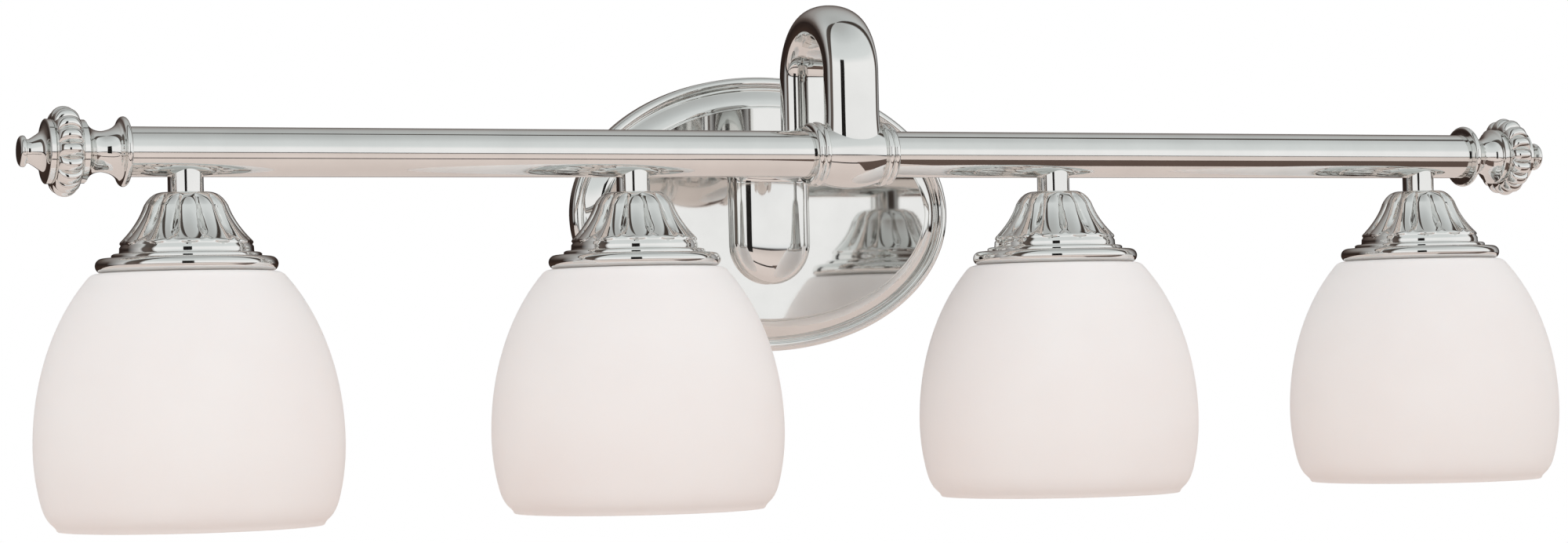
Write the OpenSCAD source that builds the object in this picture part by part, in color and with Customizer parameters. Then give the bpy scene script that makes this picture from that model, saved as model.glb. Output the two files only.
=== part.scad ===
// Four-light vanity bar for a bathroom wall: an oval back plate, a cast
// shepherd's-hook arm, a cross tube with turned finials, and four fluted
// holders that carry opal glass shades over screw-base lamps.
//
// Frame: the origin is on the wall, at the middle of the back plate. +X runs
// along the bar, -Y points into the room and +Z is up. Sizes are millimetres.

/* [Bar] */
// Outer diameter of the cross tube
bar_d = 22.2; // [20:0.1:27]
// Wall thickness of the cross tube
bar_wall = 1.2; // [0.8:0.1:1.6]
// Distance from the wall to the bar's axis
bar_out = 106; // [95:1:140]
// Height of the bar's axis above the middle of the back plate
bar_rise = 24; // [16:1:30]
// Distance from the middle of the bar to each inner lamp
inner_lamp_x = 111; // [90:1:140]
// Distance from an inner lamp to the outer lamp beside it
lamp_pitch = 213; // [170:1:260]
// Length of tube beyond each outer lamp
bar_overrun = 29; // [20:1:60]

/* [Back plate] */
// Width of the oval back plate
plate_w = 206; // [170:1:250]
// Height of the oval back plate
plate_h = 138; // [115:1:170]
// Depth of the back plate from the wall to its flat face
plate_deep = 11; // [9:0.5:14]
// Thickness of the plate's metal
plate_wall = 1.2; // [0.8:0.1:1.5]
// Hole spacing of the wall box that the bracket screws to
box_spacing = 88.9; // [70:0.1:95]

/* [Arm] */
// Width of the arm where it lies on the plate
tongue_w = 42; // [36:1:50]
// Thickness of the arm where it lies on the plate
tongue_t = 11; // [9:0.5:14]
// How far the arm reaches below the bar's axis on the plate
tongue_drop = 60; // [52:1:62]
// Width of the hook over the bar
hook_w = 27; // [24:0.5:32]
// Thickness of the hook over the bar
hook_t = 17; // [15:0.5:19]
// Radius of the hook's bend, to the middle of its thickness
hook_r = 26.15; // [23:0.05:30]
// Height of the top of the hook above the bar's axis
hook_top = 73.5; // [68:0.5:88]
// How far the hook's front leg stands in front of the bar's axis
leg_forward = 5.8; // [4:0.1:5.8]

/* [Shades] */
// Largest diameter of a glass shade
shade_d = 136.4; // [110:0.2:165]
// Height of a glass shade
shade_h = 112.7; // [100:0.1:136]
// Depth of the shade's widest place below its top
belly_depth = 76.2; // [66:0.1:84]
// Diameter of the shade's flat top
shade_top_d = 83; // [81:0.5:92]
// Thickness of the glass
glass_t = 3.2; // [2.5:0.1:4]
// Diameter of the fitter hole in the shade's top
fitter_d = 41; // [40:0.5:46]

/* [Holders] */
// Depth of the holder's top below the bar's axis
holder_drop = 18; // [16:0.5:24]
// Height of the fluted bell on a holder
bell_h = 23.3; // [20:0.1:30]
// Diameter of the bell's foot
bell_d = 59; // [56:0.5:64]
// Diameter over the holder's rolled rim
rim_d = 80.3; // [76:0.1:90]
// Thickness of the holder's rolled rim
rim_t = 6.6; // [5:0.1:8]
// Outer diameter of a stem
stem_d = 15.8; // [14:0.1:18]
// Number of flutes round a holder
flutes = 12; // [8:1:16]

/* [Lamps] */
// Diameter of the lamp's screw cap
cap_d = 26; // [24:0.1:27]
// Length of the lamp from its contact to its tip
lamp_l = 106.5; // [98:0.5:115]
// Largest diameter of the lamp
lamp_d = 60; // [45:0.5:65]
// Running gap round anything that turns
gap = 0.3; // [0.3:0.05:0.5]

/* [Finials] */
// Length of a finial beyond the end of the tube's seat
finial_l = 45; // [40:1:52]
// Diameter over the lobed ring of a finial
melon_d = 39.7; // [34:0.1:46]
// Number of lobes round a finial
lobes = 16; // [12:1:20]

/* [Hidden] */
$fn = 48;

nickel = [0.84, 0.83, 0.81];
zinc = [0.70, 0.72, 0.74];
brass = [0.80, 0.65, 0.35];
opal = [0.96, 0.94, 0.92];
phenolic = [0.16, 0.14, 0.13];
frosted = [0.93, 0.93, 0.90];
copper_green = [0.20, 0.55, 0.28];
wire_sleeve = [0.12, 0.12, 0.12];

eps = 0.01;
slide_fit = 0.1;                       // radial clearance of parts that slip together
bar_r = bar_d / 2;
tube_bore_r = bar_r - bar_wall;
outer_lamp_x = inner_lamp_x + lamp_pitch;
tube_end_x = outer_lamp_x + bar_overrun;
lamp_x = [-outer_lamp_x, -inner_lamp_x, inner_lamp_x, outer_lamp_x];

// Threaded tube, 1/8 inch pipe size, that carries wires and holds the stack
nipple_r = 4.85;
nipple_bore_r = 3.3;
// Smaller threaded tube that ties the arm to the collar
tie_r = 3.9;
tie_bore_r = 2.6;
wire_r = 2.2;
drop_wire_r = 1.5;

// Points of a quadratic bend from a to c pulled towards b, without its first point
function bend(a, b, c, steps) =
    [for (i = [1:steps]) let (t = i / steps)
        (1 - t) * (1 - t) * a + 2 * t * (1 - t) * b + t * t * c];
// Points of a round from angle a0 to a1 about c
function arc(c, r, a0, a1, steps) =
    [for (i = [0:steps]) let (a = a0 + (a1 - a0) * i / steps) c + r * [cos(a), sin(a)]];

// Places its children at the bar's axis above the middle of the plate
module at_bar() { translate([0, -bar_out, bar_rise]) children(); }
// Places its children at that height on the axis of the hook's front leg
module at_leg() { translate([0, front_leg_y, bar_rise]) children(); }
// Places its children under the bar at one lamp, with the axis pointing up
module at_lamp(i) { translate([lamp_x[i], -bar_out, bar_rise]) children(); }
// Turns a piece that is built along +Z so that it runs out along +X or -X
module along_bar(side) { rotate([0, side * 90, 0]) children(); }
module ring(r_out, r_in, z0, z1) {
    translate([0, 0, z0]) difference() {
        cylinder(r = r_out, h = z1 - z0);
        translate([0, 0, -1]) cylinder(r = r_in, h = z1 - z0 + 2);
    }
}

// ---- Back plate and wall bracket -------------------------------------------

plate_a = plate_w / 2;
plate_b = plate_h / 2;
plate_steps = 72;
bead_r = 2.75;                         // half the width of the plate's rolled edge
skirt_h = 4;
band_in = 6;                           // where the raised band starts
band_w = 8.8;
groove_h = skirt_h + 1.6;
step_h = 0.6;                          // small step between band and flat face
field_in = band_in + band_w + 0.8;     // where the flat face starts

// Outline point of an oval that lies inset evenly by s inside the plate's edge
function oval(s, t) =
    let (n = [plate_b * cos(t), plate_a * sin(t)], u = n / norm(n))
    [plate_a * cos(t), plate_b * sin(t)] - s * u;

// Outer skin: each point is [inset, height from the wall]
band_top = plate_deep - step_h;
plate_skin = concat(
    [[0, 0]],
    arc([bead_r, skirt_h], bead_r, 180, 30, 7),
    [[band_in, groove_h - 0.6]],
    [for (i = [1:6]) let (t = i / 6)
        [band_in + band_w * t, groove_h + (band_top - groove_h) * sin(82 * t) / sin(82)]],
    [[field_in - 0.5, band_top - 0.4], [field_in, plate_deep]]);
plate_lining = [
    [field_in + 1, plate_deep - plate_wall],
    [band_in + band_w, band_top - plate_wall - 0.2],
    [band_in + band_w * 0.45, groove_h + 0.55 * (band_top - groove_h) - plate_wall],
    [band_in + 0.6, groove_h - 0.6 - plate_wall],
    [band_in - 1.2, groove_h - 0.6 - plate_wall],
    [bead_r + 0.8, skirt_h + bead_r - plate_wall - 0.4],
    [bead_r - 0.8, skirt_h + bead_r - plate_wall - 0.4],
    [plate_wall, skirt_h],
    [plate_wall, 0]];
plate_rings = concat(plate_skin, plate_lining);

wire_hole_z = bar_rise + 3;            // the arm's level run meets the plate here
arm_screw_z = [-18, 6];
arm_screw_r = 2;

module back_plate() {
    n = plate_steps;
    m = len(plate_rings);
    front = len(plate_skin) - 1;       // the ring round the flat face
    back = front + 1;                  // the ring round the flat face's back
    pts = [for (k = [0:m - 1], j = [0:n - 1])
        let (p = oval(plate_rings[k][0], 360 * j / n)) [p[0], -plate_rings[k][1], p[1]]];
    function quad(k, k2, j) =
        let (j2 = (j + 1) % n)
        [[k * n + j, k2 * n + j, k2 * n + j2], [k * n + j, k2 * n + j2, k * n + j2]];
    skin = [for (k = [0:m - 1], j = [0:n - 1]) if (k != front)
        for (f = quad(k, (k + 1) % m, j)) f];
    caps = [[for (j = [0:n - 1]) front * n + j], [for (j = [n - 1:-1:0]) back * n + j]];
    color(nickel) difference() {
        polyhedron(points = pts, faces = concat(skin, caps), convexity = 6);
        // Way for the wires, holes for the arm's screws, holes for the edge screws
        translate([0, 0, wire_hole_z]) rotate([90, 0, 0])
            cylinder(r = tie_r + slide_fit, h = plate_deep + 1);
        for (z = arm_screw_z) translate([0, 0, z]) rotate([90, 0, 0])
            cylinder(r = arm_screw_r + slide_fit, h = plate_deep + 1);
        for (s = [-1, 1]) translate([0, -edge_screw_y, s * (plate_b - 2.5)])
            rotate([0, s > 0 ? 0 : 180, 0]) cylinder(r = edge_screw_r + slide_fit, h = 4);
    }
}

edge_screw_r = 1.5;
edge_screw_y = 2.6;
strap_t = 1.6;
strap_h = 24;
ear_gap = plate_wall + 0.5;            // from the plate's edge to the bracket's ear
ear_z = plate_b - ear_gap;
ear_reach = skirt_h + 0.6;
slot_r = 2.3;
slot_l = 12;
ground_x = 24;

// Slot with round ends, along X
module slot_cut() {
    span = slot_l / 2 - slot_r;
    for (s = [-1, 1]) translate([s * span, 1, 0]) rotate([90, 0, 0])
        cylinder(r = slot_r, h = strap_t + 2);
    translate([-span, -strap_t - 1, -slot_r]) cube([2 * span, strap_t + 2, 2 * slot_r]);
}
module mounting_bracket() {
    strap_half = box_spacing / 2 + slot_l / 2 + 4;
    color(zinc) difference() {
        union() {
            translate([-strap_half, -strap_t, -strap_h / 2])
                cube([2 * strap_half, strap_t, strap_h]);
            translate([-8, -strap_t, -ear_z]) cube([16, strap_t, 2 * ear_z]);
            for (s = [-1, 1]) translate([-8, -ear_reach, s > 0 ? ear_z - strap_t : -ear_z])
                cube([16, ear_reach, strap_t]);
        }
        for (s = [-1, 1]) translate([s * box_spacing / 2, 0, 0]) slot_cut();
        // Large middle hole that the wires pass through, and the ground screw's hole
        translate([0, 1, 0]) rotate([90, 0, 0]) cylinder(r = 7, h = strap_t + 2);
        translate([0, 1, wire_hole_z]) rotate([90, 0, 0])
            cylinder(r = tie_r + 1, h = strap_t + 2);
        translate([ground_x, 1, 0]) rotate([90, 0, 0]) cylinder(r = arm_screw_r, h = strap_t + 2);
        for (s = [-1, 1]) translate([0, -edge_screw_y, s * (ear_z - strap_t - 1)])
            rotate([0, s > 0 ? 0 : 180, 0]) cylinder(r = edge_screw_r, h = strap_t + 2);
    }
}

// Two headless screws that go in through the plate's edge, above and below
module plate_screws() {
    inner = strap_t + 0.3;             // how far a screw reaches in past the ear's outer face
    screw_l = inner + ear_gap - 0.2;
    color(nickel) for (s = [-1, 1])
        translate([0, -edge_screw_y, s * (ear_z - inner)]) rotate([0, s > 0 ? 0 : 180, 0])
            difference() {
                cylinder(r = edge_screw_r - 0.02, h = screw_l);
                translate([0, 0, screw_l - 1.4]) cylinder(r = 0.75, h = 2, $fn = 6);
            }
}

// Green screw on the bracket for the ground wire
module ground_screw() {
    color(copper_green) translate([ground_x, -strap_t, 0]) rotate([90, 0, 0]) {
        difference() {
            cylinder(r = 3.8, h = 2.4);
            translate([-5, -0.5, 1.4]) cube([10, 1, 2]);
        }
        translate([0, 0, -strap_t]) cylinder(r = arm_screw_r - 0.02, h = strap_t + eps);
    }
}

// ---- Arm -------------------------------------------------------------------

// The arm's middle line lies in the YZ plane. A station is
// [y, z, heading, half width, half thickness, squareness of its back]. The
// heading is 0 where the arm rises, 90 where it runs towards the room, and 180
// where it comes down.
front_leg_y = -(bar_out + leg_forward);
leg_y = front_leg_y + 2 * hook_r;      // the rear leg of the hook
tongue_y = -(plate_deep + tongue_t / 2);
turn_r = 12;
run_z = wire_hole_z;
run_l = tongue_y - leg_y - 2 * turn_r;
bow_z = bar_rise + hook_top - hook_t / 2 - hook_r;
boss_top = 19;                         // the arm ends this far above the bar's axis
tongue_z = bar_rise - tongue_drop;
nose_r = tongue_w / 2;
first_cut = 0.4;                       // the nose ends in a narrow flat

function mix(a, b, t) = a + (b - a) * t;
function ease(t) = t * t * (3 - 2 * t);
function half_w(t) = mix(tongue_w, hook_w, ease(t)) / 2;
function half_t(t) = mix(tongue_t, hook_t, ease(t)) / 2;
inner_square = 3.2;                    // squareness of the arm's front, and of the hook's inside
outer_square = 2.5;                    // the hook's outside is crowned
function squareness(t) = mix(9, outer_square, ease(t));

nose = [for (i = [0:9]) let (a = acos(1 - first_cut / nose_r) + (90 - acos(1 - first_cut / nose_r)) * i / 9)
    [tongue_y, tongue_z + nose_r * (1 - cos(a)), 0, nose_r * sin(a), tongue_t / 2, 9]];
first_turn = [for (i = [0:6]) let (a = 15 * i)
    [tongue_y - turn_r * (1 - cos(a)), run_z - turn_r + turn_r * sin(a), a,
     half_w(i / 18), half_t(i / 18), squareness(i / 18)]];
level_run = [for (i = [1:3])
    [tongue_y - turn_r - run_l * i / 4, run_z, 90,
     half_w((6 + 2 * i) / 20), half_t((6 + 2 * i) / 20), squareness((6 + 2 * i) / 20)]];
second_turn = [for (i = [0:6]) let (a = 15 * i)
    [leg_y + turn_r * cos(90 - a) - turn_r + turn_r * (1 - sin(a)), run_z + turn_r * (1 - cos(a)), 90 - a,
     half_w((14 + i) / 20), half_t((14 + i) / 20), squareness((14 + i) / 20)]];
bow = [for (i = [0:15]) let (a = 12 * i)
    [leg_y - hook_r * (1 - cos(a)), bow_z + hook_r * sin(a), a, hook_w / 2, hook_t / 2,
     outer_square]];
foot = [[front_leg_y, bar_rise + boss_top, 180, hook_w / 2, hook_t / 2, outer_square]];
arm_stations = concat(nose, first_turn, level_run, second_turn, bow, foot);

section_n = 28;
function power(v, e) = sign(v) * pow(abs(v), e);
// Point of a softened rectangle; front and back may have their own squareness
function soft_rect(a, hw, ht, front, back) =
    let (e = 2 / (sin(a) < 0 ? back : front)) [hw * power(cos(a), e), ht * power(sin(a), e)];

module arm_body() {
    m = len(arm_stations);
    pts = [for (s = arm_stations, k = [0:section_n - 1])
        let (p = soft_rect(360 * k / section_n, s[3], s[4], inner_square, s[5]))
        [p[0], s[0] - p[1] * cos(s[2]), s[1] - p[1] * sin(s[2])]];
    sides = [for (i = [0:m - 2], k = [0:section_n - 1])
        let (a = i * section_n + k, b = i * section_n + (k + 1) % section_n)
        for (f = [[a, b + section_n, a + section_n], [a, b, b + section_n]]) f];
    caps = [[for (k = [section_n - 1:-1:0]) k],
            [for (k = [0:section_n - 1]) (m - 1) * section_n + k]];
    polyhedron(points = pts, faces = concat(sides, caps), convexity = 8);
}

// Round way of radius r along the arm, from behind the plate's face to the collar
module arm_way(r, y_start, z_end) {
    translate([0, y_start, run_z]) rotate([90, 0, 0])
        cylinder(r = r, h = y_start - leg_y - turn_r);
    translate([0, leg_y + turn_r, run_z + turn_r]) rotate([90, 0, 90]) rotate([0, 0, 180])
        rotate_extrude(angle = 90) translate([turn_r, 0]) circle(r = r);
    translate([0, leg_y, run_z + turn_r]) cylinder(r = r, h = bow_z - run_z - turn_r);
    translate([0, leg_y - hook_r, bow_z]) rotate([90, 0, 90])
        rotate_extrude(angle = 180) translate([hook_r, 0]) circle(r = r);
    translate([0, front_leg_y, z_end]) cylinder(r = r, h = bow_z - z_end);
}

module hook_arm() {
    color(nickel) difference() {
        arm_body();
        arm_way(tie_r + slide_fit, -plate_deep + 1, bar_rise + boss_top - 1);
        for (z = arm_screw_z) translate([0, -plate_deep + 1, z]) rotate([90, 0, 0])
            cylinder(r = arm_screw_r, h = tongue_t - 2);
    }
}

// Two screws from behind the plate into the arm
module arm_screws() {
    color(zinc) for (z = arm_screw_z) translate([0, -plate_deep + plate_wall, z]) rotate([90, 0, 0]) {
        cylinder(r = arm_screw_r - 0.02, h = plate_wall + 7);
        translate([0, 0, -2.2]) difference() {
            cylinder(r = 3.7, h = 2.2);
            translate([-0.5, -4, -1]) cube([1, 8, 1.9]);
        }
    }
}

wire_meet = 14;                        // the arm's wires end this far above the bar's axis
module arm_wires() {
    color(wire_sleeve) arm_way(wire_r, -strap_t - 1, bar_rise + wire_meet);
}

// ---- Collar ----------------------------------------------------------------

collar_half = 15;
collar_mid_r = bar_r + 5.5;
collar_end_r = bar_r + 2.7;
collar_ring_l = 6.5;
tube_gap = 6.5;                        // each tube stops this far from the middle

module tee_collar() {
    barrel = concat(
        [for (i = [0:12]) let (x = -collar_half + 2 * collar_half * i / 12)
            [collar_mid_r - (collar_mid_r - collar_end_r) * pow(x / collar_half, 2), x]],
        [[0, collar_half], [0, -collar_half]]);
    boss = [for (k = [0:section_n - 1])
        soft_rect(360 * k / section_n, hook_w / 2, hook_t / 2, inner_square, outer_square)];
    color(nickel) difference() {
        union() {
            at_bar() along_bar(1) rotate_extrude() polygon(barrel);
            at_leg() linear_extrude(height = boss_top) polygon(boss);
        }
        at_bar() along_bar(1) translate([0, 0, -collar_half - 1])
            cylinder(r = bar_r + slide_fit, h = 2 * collar_half + 2);
        at_leg() cylinder(r = tie_r + slide_fit, h = boss_top + 1);
    }
}

// Turned ring with two ridges that covers each end of the collar
module collar_ring(side) {
    h = collar_ring_l / 2;
    ridge = bar_r + 4.4;
    profile = concat(
        [[bar_r + slide_fit, 0]],
        arc([ridge - h / 2, h / 2], h / 2, -90, 75, 5),
        arc([ridge - h / 2 - 0.3, h + h / 2], h / 2, -75, 90, 5),
        [[bar_r + slide_fit, 2 * h]]);
    color(nickel) at_bar() along_bar(side) translate([0, 0, collar_half])
        rotate_extrude() polygon(profile);
}
module collar_ring_left() { collar_ring(-1); }
module collar_ring_right() { collar_ring(1); }

// Inner sleeve that joins the two tubes inside the collar
module bar_sleeve() {
    sleeve_r = tube_bore_r - slide_fit;
    color(zinc) difference() {
        at_bar() along_bar(1) ring(sleeve_r, sleeve_r - 1.4, -collar_half - 4, collar_half + 4);
        at_leg() cylinder(r = tie_r + slide_fit, h = bar_r);
    }
}

// Threaded tube that ties the arm to the collar
module collar_nipple() {
    color(zinc) at_leg() ring(tie_r, tie_bore_r, tube_bore_r - 3, boss_top + 9);
}

// ---- Cross tubes -----------------------------------------------------------

module bar_half(side) {
    color(nickel) at_bar() difference() {
        along_bar(side) ring(bar_r, tube_bore_r, tube_gap, tube_end_x);
        for (x = [inner_lamp_x, outer_lamp_x]) translate([side * x, 0, -bar_r - 1])
            cylinder(r = nipple_r + slide_fit, h = bar_r + 1);
    }
}
module bar_left() { bar_half(-1); }
module bar_right() { bar_half(1); }

// Insulated wires laid in the tubes, with a drop into each lamp
module bar_wires() {
    color(wire_sleeve) at_bar() {
        along_bar(1) translate([0, 0, -outer_lamp_x])
            cylinder(r = wire_r, h = 2 * outer_lamp_x);
        rotate([90, 0, 0]) cylinder(r = wire_r, h = leg_forward);
        translate([0, -leg_forward, 0]) cylinder(r = wire_r, h = wire_meet);
        for (x = lamp_x) translate([x, 0, -socket_top - 6])
            cylinder(r = drop_wire_r, h = socket_top + 6);
    }
}

// ---- Finials ---------------------------------------------------------------

// Measured along the bar from the end of the tube: seat, neck, lobed ring, cap
seat_in = 2.6;                         // the tube enters the finial this far
neck_l = 19;
melon_l = 12;
spigot_l = 15;
rod_r = 2.5;
cap_l = finial_l - neck_l - melon_l;
melon_r = melon_d / 2;
neck_r = 9.5;
flange_r = bar_r + 4.4;

module finial_place(side) {
    at_bar() along_bar(side) translate([0, 0, tube_end_x]) children();
}
module finial_neck(side) {
    profile = concat(
        [[0, -spigot_l], [tube_bore_r - slide_fit, -spigot_l], [tube_bore_r - slide_fit, 0],
         [bar_r + slide_fit, 0], [bar_r + slide_fit, -seat_in], [flange_r - 1.6, -seat_in]],
        arc([flange_r - 1.6, -1], 1.6, -90, 90, 6),
        bend([flange_r - 1.6, 0.6], [neck_r, 1.5], [neck_r, 6.5], 5),
        bend([neck_r, 6.5], [neck_r, 12.5], [13.4, neck_l - 3.2], 5),
        arc([12.9, neck_l - 1.2], 1.2, -60, 90, 4),
        [[0, neck_l]]);
    color(nickel) finial_place(side) difference() {
        rotate_extrude() polygon(profile);
        translate([0, 0, -spigot_l - 1]) cylinder(r = rod_r + 0.05, h = neck_l + spigot_l + 2);
    }
}
module finial_melon(side) {
    half = melon_l / 2;
    outer = [for (i = [0:10]) let (a = -90 + 18 * i)
        [12.5 + (melon_r - 12.5) * pow(cos(a), 0.75), half + half * sin(a)]];
    color(nickel) finial_place(side) translate([0, 0, neck_l]) difference() {
        rotate_extrude() polygon(concat([[0, 0]], outer, [[0, melon_l]]));
        translate([0, 0, -1]) cylinder(r = rod_r + 0.05, h = melon_l + 2);
        // Valleys between the lobes
        for (k = [0:lobes - 1]) rotate([0, 0, 360 * (k + 0.5) / lobes])
            translate([melon_r + 0.4, 0, -1]) cylinder(r = 1.5, h = melon_l + 2, $fn = 16);
    }
}
module finial_cap(side) {
    button_l = 3;
    button_r = 6.9;
    disc_r = 14.25;
    top = cap_l;
    profile = concat(
        [[0, 0], [disc_r - 0.3, 0], [disc_r, 0.3], [disc_r, 2.3], [disc_r - 0.3, 2.6]],
        bend([disc_r - 0.3, 2.6], [9, 3.2], [8, 5], 4),
        bend([8, 5], [6.6, 7], [5.25, top - button_l - 2], 4),
        [[5.25, top - button_l]],
        arc([button_r - 0.8, top - button_l + 0.8], 0.8, -90, 0, 3),
        arc([button_r - 1, top - 1], 1, 0, 90, 4),
        [[0, top]]);
    color(nickel) finial_place(side) translate([0, 0, neck_l + melon_l]) difference() {
        rotate_extrude() polygon(profile);
        translate([0, 0, -1]) cylinder(r = rod_r + 0.05, h = 7);
    }
}
module finial_neck_left() { finial_neck(-1); }
module finial_neck_right() { finial_neck(1); }
module finial_melon_left() { finial_melon(-1); }
module finial_melon_right() { finial_melon(1); }
module finial_cap_left() { finial_cap(-1); }
module finial_cap_right() { finial_cap(1); }

// Threaded rods, each with a nut inside the tube, that pull a finial together
module finial_rods() {
    color(zinc) for (side = [-1, 1]) finial_place(side) {
        translate([0, 0, -spigot_l - 6])
            cylinder(r = rod_r, h = spigot_l + 6 + neck_l + melon_l + 5.5);
        translate([0, 0, -spigot_l - 3.6]) cylinder(r = 4.6, h = 3.6, $fn = 6);
    }
}

// ---- Stems, holders and sockets -------------------------------------------

holder_top = -holder_drop;
bell_top_r = 11.3;
bell_foot_r = bell_d / 2;
band_h = 3.4;                          // plain band under the bell
step_r = bell_foot_r + 3.6;
step_ring_h = 2.6;
rim_r = rim_d / 2;
bead = rim_t / 2;
shade_top = holder_top - bell_h - band_h - step_ring_h - rim_t + 0.6;
holder_wall = 2.4;
top_wall = 2.5;
locknut_t = 2.8;
socket_top = holder_drop + top_wall + locknut_t + 2.2;

module stem(i) {
    color(nickel) at_lamp(i) difference() {
        translate([0, 0, holder_top]) cylinder(r = stem_d / 2, h = holder_drop - bar_r / 2);
        along_bar(1) translate([0, 0, -stem_d]) cylinder(r = bar_r, h = 2 * stem_d);
        translate([0, 0, holder_top - 1]) cylinder(r = nipple_r + slide_fit, h = holder_drop);
    }
}
module stem_1() { stem(0); }
module stem_2() { stem(1); }
module stem_3() { stem(2); }
module stem_4() { stem(3); }

// Threaded tubes from the bar through stem and holder into the socket
module stem_nipples() {
    color(zinc) for (i = [0:3]) at_lamp(i)
        ring(nipple_r, nipple_bore_r, -socket_top - 5, -tube_bore_r + 3);
}
module stem_locknuts() {
    color(zinc) for (i = [0:3]) at_lamp(i) translate([0, 0, holder_top - top_wall - locknut_t])
        difference() {
            cylinder(r = 8, h = locknut_t, $fn = 6);
            translate([0, 0, -1]) cylinder(r = nipple_r + 0.05, h = locknut_t + 2);
        }
}

module holder(i) {
    foot_z = holder_top - bell_h;
    band_z = foot_z - band_h;
    ring_z = band_z - step_ring_h;
    rim_z = shade_top + bead;
    rim_mid = rim_r - bead;
    outline = concat(
        [[0, holder_top], [bell_top_r, holder_top]],
        bend([bell_top_r, holder_top], [bell_top_r + 12, holder_top - bell_h / 2],
             [bell_foot_r - 0.3, foot_z], 9),
        [[bell_foot_r, foot_z - 0.4], [bell_foot_r, band_z], [step_r - 0.5, band_z],
         [step_r, band_z - 0.5], [step_r, ring_z + 0.3]],
        arc([rim_mid, rim_z], bead, 100, -90, 12),
        [[0, shade_top]]);
    // The inside follows the bell at an even wall
    inside = concat(
        [[0, shade_top - 1], [rim_mid - 3, shade_top - 1], [rim_mid - 3, shade_top + 2.5],
         [bell_foot_r - holder_wall, band_z], [bell_foot_r - holder_wall, foot_z]],
        bend([bell_foot_r - holder_wall, foot_z],
             [bell_top_r + 11.2 - holder_wall, holder_top - bell_h / 2],
             [bell_top_r - 0.6, holder_top - top_wall], 7),
        [[0, holder_top - top_wall]]);
    color(nickel) at_lamp(i) difference() {
        rotate_extrude() polygon(outline);
        rotate_extrude() polygon(inside);
        translate([0, 0, holder_top - top_wall - 1]) cylinder(r = nipple_r + slide_fit, h = top_wall + 2);
        // Flutes, each a shallow round groove down the bell's slope
        for (k = [0:flutes - 1]) rotate([0, 0, 360 * k / flutes])
            translate([bell_top_r + 3.2, 0, holder_top + 0.6])
                rotate([0, atan2(bell_foot_r - bell_top_r - 1.6, -bell_h), 0])
                    cylinder(r = 1.7, h = bell_h + 2, $fn = 16);
    }
}
module holder_1() { holder(0); }
module holder_2() { holder(1); }
module holder_3() { holder(2); }
module holder_4() { holder(3); }

// Socket: a moulded body that hangs on the nipple. Depths are below its top.
cap_r = cap_d / 2;
shell_t = 0.5;
shell_r = cap_r + gap + shell_t;
body_r = shell_r + 5.4;
below_glass = 21;                      // the socket reaches this far below the glass's top
socket_l = -shade_top - socket_top + below_glass;
neck_body_r = 11.4;
pocket_z = -socket_top - 16;           // the contact lies at the top of this pocket
shell_top = pocket_z - 2.2;
socket_bottom = -socket_top - socket_l;
mouth_l = 4;

module socket_body(i) {
    outline = [
        [0, -socket_top], [neck_body_r, -socket_top], [neck_body_r, -socket_top - 9],
        [17, -socket_top - 14], [body_r, -socket_top - 18], [body_r, socket_bottom + 0.5],
        [body_r - 0.5, socket_bottom], [0, socket_bottom]];
    color(phenolic) at_lamp(i) difference() {
        rotate_extrude() polygon(outline);
        // Nipple seat, way for the wires, contact pocket, lamp space and mouth
        translate([0, 0, -socket_top - 5]) cylinder(r = nipple_r + 0.05, h = 6);
        translate([0, 0, pocket_z - 1]) cylinder(r = nipple_bore_r, h = 13);
        translate([0, 0, shell_top - eps]) cylinder(r = 9, h = pocket_z - shell_top + eps);
        translate([0, 0, socket_bottom - 1]) cylinder(r = shell_r, h = shell_top - socket_bottom + 1);
        translate([0, 0, socket_bottom - 1]) cylinder(r = shell_r + 2.2, h = mouth_l + 1);
    }
}
module socket_body_1() { socket_body(0); }
module socket_body_2() { socket_body(1); }
module socket_body_3() { socket_body(2); }
module socket_body_4() { socket_body(3); }

// Thin metal shells that the lamps screw into
module socket_shells() {
    color(brass) for (i = [0:3]) at_lamp(i)
        ring(shell_r, shell_r - shell_t, socket_bottom + mouth_l, shell_top);
}
contact_t = 0.8;
module socket_contacts() {
    color(brass) for (i = [0:3]) at_lamp(i) {
        translate([0, 0, pocket_z - contact_t]) cylinder(r = 4.2, h = contact_t);
        translate([0, 0, pocket_z - eps]) cylinder(r = 1.2, h = 2);
    }
}

// Ring that screws up the socket's body and clamps the shade to the holder
ring_bore_r = body_r + 0.2;
module shade_ring(i) {
    z0 = shade_top - top_glass;
    profile = [
        [ring_bore_r, z0], [ring_bore_r + 8, z0], [ring_bore_r + 8, z0 - 2.4],
        [ring_bore_r + 2.8, z0 - 2.8], [ring_bore_r + 2.4, z0 - 9], [ring_bore_r, z0 - 9]];
    color(phenolic) at_lamp(i) rotate_extrude() polygon(profile);
}
module shade_ring_1() { shade_ring(0); }
module shade_ring_2() { shade_ring(1); }
module shade_ring_3() { shade_ring(2); }
module shade_ring_4() { shade_ring(3); }

// ---- Glass shades ----------------------------------------------------------

top_glass = glass_t + 0.4;
belly_r = shade_d / 2;
belly_z = shade_top - belly_depth;
shade_bottom = shade_top - shade_h;
upper_h = belly_depth / sqrt(1 - pow(shade_top_d / 2 / belly_r, 2));
tuck = shade_h - belly_depth;          // from the widest place down to the rim
side_h = tuck * 0.655;                 // the side stays full this far, then turns in
lower_h = tuck * 2.29;
// The lower ellipse leads into a tight turn and a short ground edge
side_r = belly_r * sqrt(1 - pow(side_h / lower_h, 2));
turn_end = [belly_r * 0.888, belly_z - tuck * 0.918];
lip = [belly_r * 0.857, shade_bottom];

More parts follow.
